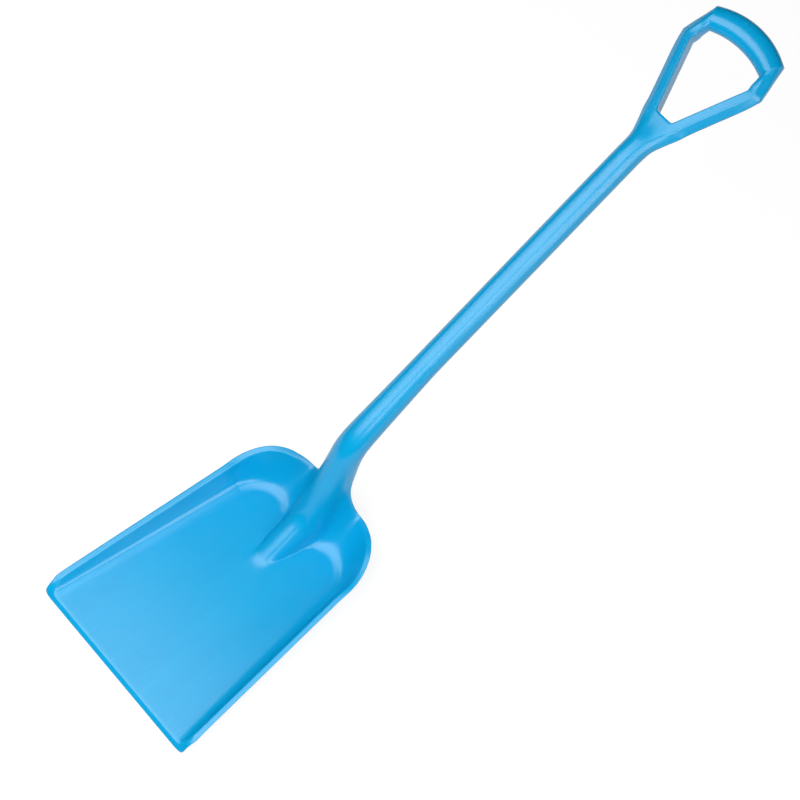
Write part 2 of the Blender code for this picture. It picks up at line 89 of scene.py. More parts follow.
# Ridge on the floor and the neck that grows out of it.
RIDGE_LENGTH = 123.0
RIDGE_HALF_TOE = 14.0
RIDGE_HALF = 26.2
RIDGE_FILLET = 4.5
RIDGE_LOW = 12.0
RIDGE_LOW_HEIGHT = 3.8
RIDGE_BEND = 70.0
RIDGE_BEND_HEIGHT = 33.5
TOE_RADIUS = 17.0
TOE_BASE_HALF = 13.2
TOE_BASE_DEPTH = 9.0
TOE_BASE_RISE = 0.9
TOE_BACK = 14.8
TOE_CLEAR = 6.0
TOE_TURN = 22.0
BEND_BACK = 34.2
BEND_HEIGHT = 137.7
CORNER_BACK = 27.5
CORNER_HEIGHT = 127.2
BEND_FOOT_REACH = 26.0
BEND_REACH = 12.0
NECK_SLOPE = 58.0
NECK_DIAMETER = 38.0
NECK_ROOT_RISE = 64.0
NECK_BACK_REACH = 34.0
NECK_BACK_RUN = 10.0
SOCKET_REACH = 118.0

# Shaft.
SHAFT_LIFT = 27.4
SHAFT_DIAMETER = 31.0
SHAFT_EXPOSED = 325.0

# Grip. Lengths run along the shaft from the mouth of the yoke's socket.
GRIP_SOCKET = 27.0
GRIP_DROOP = 6.5
DROOP_FROM = 8.0
WEB_TOP = 61.2
WEB_HALF = 12.6
ARM_SPREAD = 21.8
ARM_WIDTH = 16.8
ARM_RISE = 85.3
MITRE_RISE = 20.7
ARM_INNER_THICK = 12.0
ARM_CREASE = 9.5
CREASE_SHARE = 0.54
ARM_EDGE = 1.8
BAR_INNER_HALF = 41.0
BAR_RADIUS = 112.0
BAR_WIDTH = 33.4
BAR_CROWN = 0.7
BAR_THICK = 25.0
BAR_END_WIDTH = 30.0
SHOULDER_HALF = 63.8
SHOULDER_RISE = 87.6
SHOULDER_BLEND = 0.1

# Camera of the photograph, in metres and degrees.
CAMERA_PLACE = Vector((0.9626, -0.5897, 2.7448))
CAMERA_AIM = Vector((-0.0569, 0.3355, 0.0))
CAMERA_ROLL = 2.36
CAMERA_LENS = 112.86
SENSOR_WIDTH = 36.0

# Studio floor, in metres.
STUDIO_HALF = 6.0
STUDIO_GAP = 0.0006


def mix(a, b, t):
    return a + (b - a) * t


def spread(a, b, t):
    return tuple(mix(p, q, t) for p, q in zip(a, b))


def put(vert, point):
    vert.co = Vector(point)


def add_piece(name, slot, bm, levels, mirrored):
    """Adds a piece in place of the node of its name: scaled to metres, mirrored and rounded."""
    bmesh.ops.scale(bm, vec=(MM, MM, MM), verts=bm.verts)
    mesh = bpy.data.meshes.new(name + "_moulding")
    bm.to_mesh(mesh)
    bm.free()
    mesh.shade_smooth()
    mesh.materials.append(satin_blue(slot))
    piece = bpy.data.objects.new(name + "_moulding", mesh)
    bpy.context.scene.collection.objects.link(piece)
    if mirrored:
        mirror = piece.modifiers.new("mirror", "MIRROR")
        mirror.use_axis = (True, False, False)
        mirror.merge_threshold = 0.00005
    if levels:
        rounding = piece.modifiers.new("rounding", "SUBSURF")
        rounding.levels = levels
        rounding.render_levels = levels
        piece.modifiers.new("facets", "TRIANGULATE")
    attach(piece, "root")
    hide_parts(name)


def grow(bm, chain):
    """Extrudes the edges along a chain of vertices and gives the new chain in the same order."""
    edges = [bm.edges.get(pair) for pair in zip(chain, chain[1:])]
    bmesh.ops.extrude_edge_only(bm, edges=edges)
    old = set(chain)
    twins = []
    for vert in chain:
        links = [edge.other_vert(vert) for edge in vert.link_edges if edge not in edges]
        twins.append(next(v for v in links if v not in old and v.co == vert.co))
    return twins


def grid(bm, rows, columns):
    made = bmesh.ops.create_grid(bm, x_segments=rows, y_segments=columns, size=1.0)["verts"]
    return {(round((v.co.x + 1) / 2 * rows), round((v.co.y + 1) / 2 * columns)): v for v in made}


def new_cage():
    """An empty mesh for a rounded cage, with room for the sharpness of its edges and corners."""
    bm = bmesh.new()
    bm.edges.layers.float.new("crease_edge")
    bm.verts.layers.float.new("crease_vert")
    return bm


def pin_corners(bm, verts, amount):
    layer = bm.verts.layers.float["crease_vert"]
    for vert in verts:
        vert[layer] = amount


def crease(bm, chain, amount):
    """Keeps the edges along a chain from rounding. At 1.0 they also part the shading of their faces."""
    layer = bm.edges.layers.float["crease_edge"]
    for pair in zip(chain, chain[1:]):
        edge = bm.edges.get(pair)
        edge[layer] = amount
        edge.smooth = amount < 1.0


def close_skins(bm, upper, lower):
    """Joins the borders of two skins by one strip of faces and turns all faces outwards."""
    for a, b, c, d in zip(upper, upper[1:], lower[1:], lower):
        bm.faces.new((a, b, c, d))
    bmesh.ops.recalc_face_normals(bm, faces=bm.faces)
    lowest = min(bm.faces, key=lambda face: face.calc_center_median().z)
    if lowest.normal.z > 0:
        bmesh.ops.reverse_faces(bm, faces=bm.faces)


# The neck's centre line in the YZ plane: a straight foot, a tight corner and a socket that runs on to the
# line of the shaft, which is counted from the point where it would meet the foot.
front = -ORIGIN_BACK
rear = front + BLADE_LENGTH
bend = (rear + BEND_BACK, FLOOR_THICK + BEND_HEIGHT)
shaft_way = (cos(radians(SHAFT_LIFT)), sin(radians(SHAFT_LIFT)))
shaft_frame = Matrix.Translation((0.0, *bend)) @ Matrix.Rotation(radians(SHAFT_LIFT), 4, "X")
neck_corner = (rear + CORNER_BACK, FLOOR_THICK + CORNER_HEIGHT)
socket_mouth = (bend[0] + SOCKET_REACH * shaft_way[0], bend[1] + SOCKET_REACH * shaft_way[1])
foot_way = (cos(radians(NECK_SLOPE)), sin(radians(NECK_SLOPE)))
socket_lift = atan2(socket_mouth[1] - neck_corner[1], socket_mouth[0] - neck_corner[0])
socket_way = (cos(socket_lift), sin(socket_lift))
bend_from = (
    neck_corner[0] - BEND_FOOT_REACH * foot_way[0],
    neck_corner[1] - BEND_FOOT_REACH * foot_way[1],
)
bend_to = (neck_corner[0] + BEND_REACH * socket_way[0], neck_corner[1] + BEND_REACH * socket_way[1])


def neck_station(turn):
    """Centre and direction at a share of the bend."""
    first = spread(bend_from, neck_corner, turn)
    second = spread(neck_corner, bend_to, turn)
    way = (second[0] - first[0], second[1] - first[1])
    size = hypot(*way)
    return spread(first, second, turn), (way[0] / size, way[1] / size)


def socket_station(share):
    """Centre and direction between the bend and the mouth of the socket."""
    return spread(bend_to, socket_mouth, share), spread(socket_way, shaft_way, share)


def mouth_station(before):
    """Centre and direction a little before the mouth of the socket, on the line of the shaft."""
    centre = (socket_mouth[0] - before * shaft_way[0], socket_mouth[1] - before * shaft_way[1])
    return centre, shaft_way


def tube_point(station, radius, angle):
    """A point on the round neck, with the angle counted from its upper line."""
    (y, z), (dy, dz) = station
    across = radius * sin(radians(angle))
    up = radius * cos(radians(angle))
    return (across, y - dz * up, z + dy * up)


def swell(sides):
    """A rounded cage pulls a ring of so many sides in, so its points stand out by this share."""
    return 3 / (2 + cos(2 * pi / sides))


NECK_SIDES = 18
neck_columns = [
    (neck_station(0.15), NECK_DIAMETER / 2),
    (neck_station(0.50), mix(NECK_DIAMETER, SHAFT_DIAMETER, 0.07) / 2),
    (neck_station(0.90), mix(NECK_DIAMETER, SHAFT_DIAMETER, 0.20) / 2),
    (socket_station(0.25), mix(NECK_DIAMETER, SHAFT_DIAMETER, 0.45) / 2),
    (socket_station(0.52), mix(NECK_DIAMETER, SHAFT_DIAMETER, 0.68) / 2),
    (socket_station(0.78), mix(NECK_DIAMETER, SHAFT_DIAMETER, 0.88) / 2),
    (mouth_station(2.0), SHAFT_DIAMETER / 2),
    (mouth_station(0.0), SHAFT_DIAMETER / 2),
]

# Blade cage: rows cross the pan from its middle line, columns run from the front edge to the rear.
ROWS, COLUMNS, TOE = 8, 11, 5
RIDGE_ROWS = 4
ARC_SHARES = (0.02, 0.24, 0.47, 0.69, 0.90)
BACK_ROW_HALF = 39.0
RIM_SHARP = 0.5
RIM_FADE = (0.45, 0.36, 0.25, 0.12)
NOSE_SHARP = 0.7
ARC_SWELL = 1.02
toe_y = rear - RIDGE_LENGTH
side_shares = (0.0, 0.10, 0.24, 0.38)
foot_shares = (0.0, 0.10, 0.195, 0.325, 0.44, 0.53, 0.595, 0.70, 0.853, 1.0)
crest_shares = (0.0, 0.0, 0.03, 0.40, 0.70, 0.91, 1.06, 1.28, 1.57, 1.87)
flank_shares = ((0.0, 1.0), (0.34, 0.94), (0.69, 0.64), (0.86, 0.32), (1.0, 0.0))


def bevel_y(z):
    """Where the raked plane of the front edge is at this height."""
    return front + z / tan(radians(EDGE_RAKE))


front_columns = (
    bevel_y(FLOOR_THICK),
    front + NOSE_RUN,
    mix(front, toe_y, 0.28),
    mix(front, toe_y, 0.52),
    mix(front, toe_y, 0.78),
)


def rise_at(y, share=None):
    """Height of the rim above the floor, along the side or at a share of the rear corner."""
    if share is None or share < 0.1:
        return mix(RIM_RISE_FRONT, RIM_RISE_REAR, (y - front) / SIDE_RUN)
    if share < 0.3:
        return mix(RIM_RISE_REAR, RIM_RISE_SHOULDER, 0.5)
    if share < 0.5:
        return RIM_RISE_SHOULDER
    if share < 0.8:
        return mix(RIM_RISE_SHOULDER, RIM_RISE_VALLEY, 0.55)
    return RIM_RISE_VALLEY


floor_rear = rear - REAR_RUN
ring_lines = [
    (
        FLOOR_HALF_FRONT - FILLET_FRONT,
        FLOOR_HALF_REAR - FILLET_REAR,
        floor_rear - COVE_RUN,
        FLOOR_CORNER - COVE_CORNER,
    ),
    (FLOOR_HALF_FRONT, FLOOR_HALF_REAR, floor_rear, FLOOR_CORNER),
    (RIM_HALF_FRONT, RIM_HALF_REAR, rear, RIM_CORNER),
]
ring_lines.insert(2, spread(ring_lines[1], ring_lines[2], 0.55))
ring_offsets = (0.0, 4.0, RIM_WIDTH - 0.6, RIM_WIDTH)
ring_heights = (0.0, 0.0, 0.55, 1.0)


def ring_points(step, outer):
    """One ring of the pan from the front edge round the corner to the row beside the neck."""
    half_front, half_rear, line_y, radius = ring_lines[step]
    if outer:
        half_front += ring_offsets[step]
        half_rear += ring_offsets[step]
        line_y += ring_offsets[step]
        radius += ring_offsets[step]
    taper = atan((half_front - half_rear) / BLADE_LENGTH)

    def side_x(y):
        return mix(half_front, half_rear, (y - front) / BLADE_LENGTH)

    def height(y, share=None):
        base = 0.0 if outer and step < 2 else FLOOR_THICK
        lean = RIM_TILT if share and step == 3 and not outer else 0.0
        return base + ring_heights[step] * rise_at(y, share) - lean

    base = 0.0 if outer and step < 2 else FLOOR_THICK
    cut_z = base + ring_heights[step] * RIM_RISE_FRONT
    cut_y = mix(bevel_y(cut_z), front, NOSE_FULLNESS if outer and step == 2 else 0.0)
    points = [(side_x(cut_y) + (NOSE_FLARE if outer and step == 1 else 0.0), cut_y, cut_z)]
    points += [(side_x(y), y, height(y)) for y in front_columns[1:]]
    for share in side_shares:
        y = toe_y + RIDGE_LENGTH * share
        points.append((side_x(y), y, height(y)))
    centre_y = line_y - radius
    radius *= ARC_SWELL
    centre_x = side_x(centre_y) - radius / ARC_SWELL / cos(taper)
    for share in ARC_SHARES:
        angle = mix(taper, pi / 2, share)
        y = centre_y + radius * sin(angle)
        points.append((centre_x + radius * cos(angle), y, height(y, share)))
    points.append((BACK_ROW_HALF, line_y, height(line_y, 1.0)))
    return points


crest_end = tube_point(neck_station(0.0), NECK_DIAMETER / 2, 0)[1:]
back_end = tube_point(neck_station(0.0), NECK_DIAMETER / 2, 180)[1:]
crest_low = (toe_y + RIDGE_LOW, FLOOR_THICK + RIDGE_LOW_HEIGHT)
crest_bend = (toe_y + RIDGE_BEND, FLOOR_THICK + RIDGE_BEND_HEIGHT)
toe_centre = toe_y + TOE_BACK
back_curve = (
    (floor_rear + NECK_BACK_RUN, 0.0),
    (back_end[0] - NECK_BACK_REACH * foot_way[0], back_end[1] - NECK_BACK_REACH * foot_way[1]),
    back_end,
)


def bezier(points, t):
    while len(points) > 1:
        points = [spread(a, b, t) for a, b in zip(points, points[1:])]
    return points[0]


def ridge_half(share):
    """Half width of the ridge at its foot, narrowing again where it turns into the neck."""
    half = mix(RIDGE_HALF_TOE, RIDGE_HALF, min(1.0, max(0.0, share - 0.18) / 0.5) ** 0.6)
    return mix(half, NECK_DIAMETER / 2 + 2.0, max(0.0, share - 0.70) / 0.30)


def toe_point(row, station):
    """A point of the round toe: its outer line on the floor, or the base of its steep front."""
    turn = radians(TOE_TURN * row)
    if station == 0:
        return (TOE_RADIUS * sin(turn), toe_centre - TOE_RADIUS * cos(turn), FLOOR_THICK)
    rise = TOE_BASE_RISE * (1 - (row / RIDGE_ROWS) ** 1.5)
    return (TOE_BASE_HALF * sin(turn), toe_centre - TOE_BASE_DEPTH * cos(turn), FLOOR_THICK + rise)


def ridge_point(row, station, outer):
    """A point on the ridge and the root of the neck, on its upper or its back skin."""
    share = foot_shares[station]
    lift = max(0.0, share - 0.60) / 0.40
    half = ridge_half(share)
    foot = (toe_y + RIDGE_LENGTH * share, FLOOR_THICK + NECK_ROOT_RISE * lift ** 1.6)
    angle = pi / 2 * row / RIDGE_ROWS
    if outer:
        y = foot[0] + 6.0 * lift
        if share < 0.75:
            return (half * sin(angle), y, 0.0)
        knee = (share - 0.75) / 0.25
        side = (y, max(0.0, mix(-6.0, foot[1] - 3.0, knee)))
        return (half * sin(angle), *spread(side, bezier(back_curve, 0.86 * knee), cos(angle)))
    if station < 2:
        return toe_point(row, station)
    along = crest_shares[station]
    crest = spread(crest_low, crest_bend, along) if along < 1 else spread(crest_bend, crest_end, along - 1)
    rounding = min(1.0, max(0.0, share - 0.5) / 0.3)
    across, up = spread(flank_shares[row], (sin(angle), cos(angle)), rounding)
    return (half * across, *spread(foot, crest, up))


def blade_skin(bm, outer):
    """One skin of half the blade, with its border in order from the front edge to the socket mouth."""
    cells = grid(bm, ROWS, COLUMNS)
    rings = [ring_points(step, outer) for step in range(4)]
    base = 0.0 if outer else FLOOR_THICK
    for (i, j), vert in cells.items():
        if j == COLUMNS:
            continue
        if j < TOE:
            y = front if outer and j == 0 else front_columns[j]
            foot = (TOE_RADIUS * i / RIDGE_ROWS, y, base)
        else:
            foot = ridge_point(min(i, RIDGE_ROWS), j - TOE, outer)
        if i > RIDGE_ROWS:
            near = (TOE_RADIUS + TOE_CLEAR if j < TOE else foot[0] + RIDGE_FILLET, foot[1], base)
            foot = spread(near, rings[0][j], (i - RIDGE_ROWS - 1) / (ROWS - RIDGE_ROWS - 1))
        put(vert, foot)
    chain = [cells[ROWS, j] for j in range(COLUMNS + 1)]
    chain += [cells[i, COLUMNS] for i in range(ROWS - 1, -1, -1)]
    chains = [chain]
    for step in range(4):
        if step:
            chain = grow(bm, chain)
            chains.append(chain)
        points = list(rings[step])
        station = COLUMNS - TOE + step
        points += [ridge_point(row, station, outer) for row in range(RIDGE_ROWS, -1, -1)]
        for vert, point in zip(chain, points):
            put(vert, point)
    border = [cells[i, 0] for i in range(ROWS)] + [ring[0] for ring in chains] + chain[1:-RIDGE_ROWS]
    rim_length = len(chain) - RIDGE_ROWS
    tongue = chain[-RIDGE_ROWS - 1 :]
    for station, radius in neck_columns:
        tongue = grow(bm, tongue)
        border.append(tongue[0])
        for row, vert in zip(range(RIDGE_ROWS, -1, -1), tongue):
            angle = 360 / NECK_SIDES * row
            put(vert, tube_point(station, radius * swell(NECK_SIDES), 180 - angle if outer else angle))
    border += tongue[1:]
    nose = [cells[i, 0] for i in range(ROWS + 1)] + [ring[0] for ring in chains[1:]]
    crease(bm, nose + [chain[1]], NOSE_SHARP)
    pin_corners(bm, [chain[0]], NOSE_SHARP)
    crease(bm, chain[1 : rim_length - 4], RIM_SHARP)
    for step, amount in zip(range(rim_length - 5, rim_length - 1), RIM_FADE):
        crease(bm, chain[step : step + 2], amount)
    crease(bm, tongue, 1.0)
    if not outer:
        crease(bm, [cells[RIDGE_ROWS, j] for j in range(TOE + 1, COLUMNS)], 0.5)
    return border


def add_blade():
    """The pan, ridge and neck: two skins of one half, closed round the edge and mirrored."""
    bm = new_cage()
    upper = blade_skin(bm, False)
    lower = blade_skin(bm, True)
    close_skins(bm, upper, lower)
    crease(bm, [upper[-RIDGE_ROWS - 1], lower[-RIDGE_ROWS - 1]], 1.0)
    add_piece("blade", "blade_plastic", bm, 3, True)


yoke_start = SOCKET_REACH + SHAFT_EXPOSED
droop_at = yoke_start + DROOP_FROM


def add_shaft():
    """The straight tube between the two sockets, spun round its own line."""
    bm = bmesh.new()
    radius = SHAFT_DIAMETER / 2
    low = SOCKET_REACH + SEAM
    high = yoke_start - SEAM
    ring = bmesh.ops.create_circle(bm, segments=96, radius=radius, cap_ends=True)["verts"]
    bmesh.ops.rotate(bm, verts=ring, cent=(0, 0, 0), matrix=Matrix.Rotation(-pi / 2, 3, "X"))
    bmesh.ops.translate(bm, verts=ring, vec=(0.0, low, 0.0))
    grown = bmesh.ops.extrude_face_region(bm, geom=list(bm.faces))["geom"]
    far = [item for item in grown if isinstance(item, bmesh.types.BMVert)]
    bmesh.ops.translate(bm, verts=far, vec=(0.0, high - low, 0.0))
    bmesh.ops.recalc_face_normals(bm, faces=bm.faces)
    for edge in bm.edges:
        edge.smooth = len(edge.link_faces[0].verts) == len(edge.link_faces[1].verts)
    bmesh.ops.transform(bm, matrix=shaft_frame, verts=bm.verts)
    add_piece("shaft", "shaft_plastic", bm, 0, False)


def droop(x, s, n):
    """A point of the grip in the shaft's frame, with the plane of the grip turned down a little."""
    if s <= droop_at:
        return (x, s, n)
    turn = radians(GRIP_DROOP)
    along = s - droop_at
    return (x, droop_at + along * cos(turn) + n * sin(turn), n * cos(turn) - along * sin(turn))


spread_way = (sin(radians(ARM_SPREAD)), cos(radians(ARM_SPREAD)))
arm_from = (WEB_HALF, yoke_start + WEB_TOP)
bar_inner = (BAR_INNER_HALF, yoke_start + WEB_TOP + ARM_RISE + MITRE_RISE)
bar_end_x = BAR_INNER_HALF / (1 - BAR_END_WIDTH / (2 * BAR_RADIUS))
mitre_way = (bar_end_x / BAR_RADIUS, sqrt(1 - (bar_end_x / BAR_RADIUS) ** 2))
mitre_end = (bar_inner[0] + BAR_END_WIDTH * mitre_way[0], bar_inner[1] + BAR_END_WIDTH * mitre_way[1])
bar_end_s = (bar_inner[1] + mitre_end[1]) / 2
bar_centre = bar_end_s - BAR_RADIUS * mitre_way[1]
bar_reach = atan2(mitre_way[0], mitre_way[1])
BAR_SIDES = 6
YOKE_SIDES = 14


def bar_point(angle, corner, slim):
    """A corner of the bar's six-sided cage at this angle along its arc, in the plane of the grip."""
    turn = 2 * pi * (corner + 0.5) / BAR_SIDES
    width = mix(BAR_WIDTH, BAR_END_WIDTH, slim)
    reach = BAR_RADIUS + BAR_CROWN * (1 - slim) - width / 2 * swell(BAR_SIDES) * cos(turn)
    high = BAR_THICK / 2 * swell(BAR_SIDES) * sin(turn)
    return (reach * sin(angle), bar_centre + reach * cos(angle), high)


def arm_edges(rise):
    """Inner and outer edge of the straight arm at this height above its start."""
    inner = (arm_from[0] + spread_way[0] / spread_way[1] * rise, arm_from[1] + rise)
    outer = (inner[0] + ARM_WIDTH * spread_way[1], inner[1] - ARM_WIDTH * spread_way[0])
    return inner, outer


def yoke_skin(bm, side):
    """The upper (side 1) or lower (side -1) skin of half the yoke and its border in order."""
    rows, columns = 3, 5
    cells = grid(bm, rows, columns)
    radius = SHAFT_DIAMETER / 2 * swell(YOKE_SIDES)
    web_end = yoke_start + WEB_TOP
    slope = spread_way[0] / spread_way[1]
    outer = arm_edges(0.0)[1]
    socket_end = yoke_start + GRIP_SOCKET
    columns_at = [yoke_start + along for along in (0.0, 3.0, GRIP_SOCKET - 5.0)]
    columns_at += [socket_end + 8.0, socket_end + 20.0, web_end]
    for (i, j), vert in cells.items():
        s = columns_at[j]
        angle = radians(360 / YOKE_SIDES * i)
        place = (radius * sin(angle), s, radius * cos(angle))
        if j > 2:
            side_x = outer[0] + slope * (s - outer[1])
            crest_x = mix(WEB_HALF, 0.42 * radius, (web_end - s) / (web_end - socket_end))
            flare = [
                (0.0, s, ARM_INNER_THICK),
                (crest_x, s, ARM_INNER_THICK),
                (mix(crest_x, side_x, CREASE_SHARE), s - 1.5, ARM_CREASE),
                (side_x, s - 3.0, ARM_EDGE),
            ]
            place = spread(flare[i], (flare[i][0], flare[i][1], place[2]), (0.32, 0.0, 0.0)[j - 3])
        put(vert, droop(place[0], place[1], side * place[2]))
    chain = [cells[i, columns] for i in (1, 2, 3)]
    border_in, border_out = [cells[0, columns], chain[0]], [cells[3, j] for j in range(columns + 1)]
    ridge_line = [cells[2, columns - 1], chain[1]]
    shoulder = (arm_edges(ARM_RISE)[0], (SHOULDER_HALF, arm_from[1] + SHOULDER_RISE))
    mitre = [bar_point(bar_reach, corner, 1.0) for corner in (0, 1, 2)]
    stations = [arm_edges(rise * ARM_RISE) for rise in (0.10, 0.38, 0.68, 0.90)]
    stations = [(*inner, *outer, 0.0) for inner, outer in stations]
    stations.append((*shoulder[0], *shoulder[1], SHOULDER_BLEND))
    stations.append((*spread(shoulder[0], mitre[0], 0.6), *spread(shoulder[1], mitre[2], 0.6), 0.6))
    for in_x, in_s, out_x, out_s, blend in stations:
        chain = grow(bm, chain)
        put(chain[0], droop(in_x, in_s, side * mix(ARM_INNER_THICK, mitre[0][2], blend)))
        middle = spread((in_x, in_s), (out_x, out_s), mix(CREASE_SHARE, 0.38, blend))
        put(chain[1], droop(*middle, side * mix(ARM_CREASE, mitre[1][2], blend)))
        put(chain[2], droop(out_x, out_s, side * mix(ARM_EDGE, mitre[2][2], blend)))
        if blend == SHOULDER_BLEND:
            crease(bm, chain, 0.45)
        border_in.append(chain[0])
        border_out.append(chain[2])
        ridge_line.append(chain[1])
    chain = grow(bm, chain)
    for vert, (x, s, n) in zip(chain, mitre):
        put(vert, droop(x, s, side * n))
    border_in.append(chain[0])
    border_out.append(chain[2])
    mouth = [cells[i, 0] for i in range(rows + 1)]
    crease(bm, mouth, 1.0)
    crease(bm, border_in[:-1], 0.65)
    crease(bm, border_out[4:-1], 0.4)
    crease(bm, ridge_line, 0.5)
    pin_corners(bm, [border_in[1], border_in[6], border_out[-3]], 0.8)
    crease(bm, chain, 1.0)
    return mouth[:-1] + border_out + [chain[1]] + border_in[::-1]


def add_yoke():
    """The yoke: two skins of one half, closed round the edge and mirrored."""
    bm = new_cage()
    upper = yoke_skin(bm, 1)
    lower = yoke_skin(bm, -1)
    close_skins(bm, upper, lower)
    crease(bm, [upper[3], lower[3]], 1.0)
    mitre_in, mitre_out = len(upper) - 9, len(upper) - 11
    crease(bm, [upper[mitre_in], lower[mitre_in]], 1.0)
    crease(bm, [upper[mitre_out], lower[mitre_out]], 1.0)
    bmesh.ops.transform(bm, matrix=shaft_frame, verts=bm.verts)
    add_piece("grip_yoke", "yoke_plastic", bm, 3, True)


def add_bar():
    """The curved grip: an oval cage carried along an arc from its middle to the mitred end."""
    bm = new_cage()
    ring = bmesh.ops.create_circle(bm, segments=BAR_SIDES, radius=1.0, cap_ends=False)["verts"]
    steps = 6
    for step in range(steps + 1):
        share = step / steps
        angle = share * (bar_reach - SEAM / BAR_RADIUS)
        if step:
            ring = grow(bm, ring + ring[:1])[:-1]
        for corner, vert in enumerate(ring):
            put(vert, droop(*bar_point(angle, corner, share ** 2)))
    crease(bm, ring + ring[:1], 1.0)
    bmesh.ops.contextual_create(bm, geom=ring)
    bmesh.ops.recalc_face_normals(bm, faces=bm.faces)
    bmesh.ops.transform(bm, matrix=shaft_frame, verts=bm.verts)
    add_piece("grip_bar", "bar_plastic", bm, 3, True)


# Materials


def add_node(tree, kind, **values):
    """A shader node with its settings, and its sockets by name where they take a number or colour."""
    node = tree.nodes.new(kind)
    for name, value in values.items():
        if hasattr(node, name):
            setattr(node, name, value)
        else:
            node.inputs[name.replace("_", " ").title()].default_value = value
    return node


def new_group(name, inputs, outputs):
    """An empty shader group with named sockets, and its two end nodes."""
    group = bpy.data.node_groups.new(name, "ShaderNodeTree")
    for label, kind, value in inputs:
        socket = group.interface.new_socket(label, in_out="INPUT", socket_type=kind)
        if value is not None:
            socket.default_value = value
    for label, kind in outputs:
        group.interface.new_socket(label, in_out="OUTPUT", socket_type=kind)
    return group, group.nodes.new("NodeGroupInput"), group.nodes.new("NodeGroupOutput")


NUMBER, COLOUR, PLACE = "NodeSocketFloat", "NodeSocketColor", "NodeSocketVector"


def mould_grain():
    """Fine spark texture of the mould on a faint sink of the plastic, as a height and a dulling."""
    inputs = [
        ("Place", PLACE, None),
        ("Grain Scale", NUMBER, 900.0),
        ("Sink Scale", NUMBER, 28.0),
        ("Sink Share", NUMBER, 0.5),
    ]
    group, start, end = new_group("mould_grain", inputs, [("Height", NUMBER), ("Dulling", NUMBER)])
    grain = add_node(group, "ShaderNodeTexNoise", detail=2.0, roughness=0.6)
    sink = add_node(group, "ShaderNodeTexNoise", detail=1.0, roughness=0.4)
    blotch = add_node(group, "ShaderNodeTexNoise", scale=70.0, detail=3.0, roughness=0.55)
    both = add_node(group, "ShaderNodeMix", data_type="FLOAT")
    for noise in (grain, sink, blotch):
        group.links.new(start.outputs["Place"], noise.inputs["Vector"])
    group.links.new(start.outputs["Grain Scale"], grain.inputs["Scale"])
    group.links.new(start.outputs["Sink Scale"], sink.inputs["Scale"])
    group.links.new(start.outputs["Sink Share"], both.inputs[0])
    group.links.new(grain.outputs[0], both.inputs[2])
    group.links.new(sink.outputs[0], both.inputs[3])
    group.links.new(both.outputs[0], end.inputs["Height"])
    group.links.new(blotch.outputs[0], end.inputs["Dulling"])
    return group


def pigment_flow():
    """Pigment a little deeper in streaks that follow the way the plastic ran into the mould."""
    inputs = [
        ("Place", PLACE, None),
        ("Stretch", PLACE, (26.0, 7.0, 26.0)),
        ("Pigment", COLOUR, None),
        ("Deep Pigment", COLOUR, None),
    ]
    group, start, end = new_group("pigment_flow", inputs, [("Colour", COLOUR)])
    drawn = add_node(group, "ShaderNodeVectorMath", operation="MULTIPLY")
    streaks = add_node(group, "ShaderNodeTexNoise", scale=1.0, detail=3.0, roughness=0.5, distortion=0.6)
    share = add_node(group, "ShaderNodeMapRange")
    share.inputs["From Min"].default_value = 0.3
    share.inputs["From Max"].default_value = 0.7
    tint = add_node(group, "ShaderNodeMix", data_type="RGBA")
    group.links.new(start.outputs["Place"], drawn.inputs[0])
    group.links.new(start.outputs["Stretch"], drawn.inputs[1])
    group.links.new(drawn.outputs[0], streaks.inputs["Vector"])
    group.links.new(streaks.outputs[0], share.inputs["Value"])
    group.links.new(share.outputs[0], tint.inputs[0])
    group.links.new(start.outputs["Pigment"], tint.inputs[6])
    group.links.new(start.outputs["Deep Pigment"], tint.inputs[7])
    group.links.new(tint.outputs[2], end.inputs["Colour"])
    return group


def fine_scuffs():
    """Faint hair scratches along the shovel, thicker towards a line that meets the ground or a hand."""
    inputs = [
        ("Place", PLACE, None),
        ("Worn Line", NUMBER, 0.0),
        ("Reach", NUMBER, 0.1),
        ("Amount", NUMBER, 0.3),
    ]
    group, start, end = new_group("fine_scuffs", inputs, [("Mask", NUMBER)])
    drawn = add_node(group, "ShaderNodeVectorMath", operation="MULTIPLY")
    drawn.inputs[1].default_value = (620.0, 34.0, 620.0)
    hairs = add_node(group, "ShaderNodeTexNoise", scale=1.0, detail=2.0, roughness=0.6, distortion=0.8)
    thin = add_node(group, "ShaderNodeMapRange")
    thin.inputs["From Min"].default_value = 0.57
    thin.inputs["From Max"].default_value = 0.72
    parts = add_node(group, "ShaderNodeSeparateXYZ")
    away = add_node(group, "ShaderNodeMath", operation="SUBTRACT")
    size = add_node(group, "ShaderNodeMath", operation="ABSOLUTE")
    near = add_node(group, "ShaderNodeMapRange")
    near.inputs["To Min"].default_value = 1.0
    near.inputs["To Max"].default_value = 0.15
    worn = add_node(group, "ShaderNodeMath", operation="MULTIPLY")
    mask = add_node(group, "ShaderNodeMath", operation="MULTIPLY")
    group.links.new(start.outputs["Place"], drawn.inputs[0])
    group.links.new(drawn.outputs[0], hairs.inputs["Vector"])
    group.links.new(hairs.outputs[0], thin.inputs["Value"])
    group.links.new(start.outputs["Place"], parts.inputs[0])
    group.links.new(parts.outputs["Y"], away.inputs[0])
    group.links.new(start.outputs["Worn Line"], away.inputs[1])
    group.links.new(away.outputs[0], size.inputs[0])
    group.links.new(size.outputs[0], near.inputs["Value"])
    group.links.new(start.outputs["Reach"], near.inputs["From Max"])
    group.links.new(thin.outputs[0], worn.inputs[0])
    group.links.new(near.outputs[0], worn.inputs[1])
    group.links.new(worn.outputs[0], mask.inputs[0])
    group.links.new(start.outputs["Amount"], mask.inputs[1])
    group.links.new(mask.outputs[0], end.inputs["Mask"])
    return group


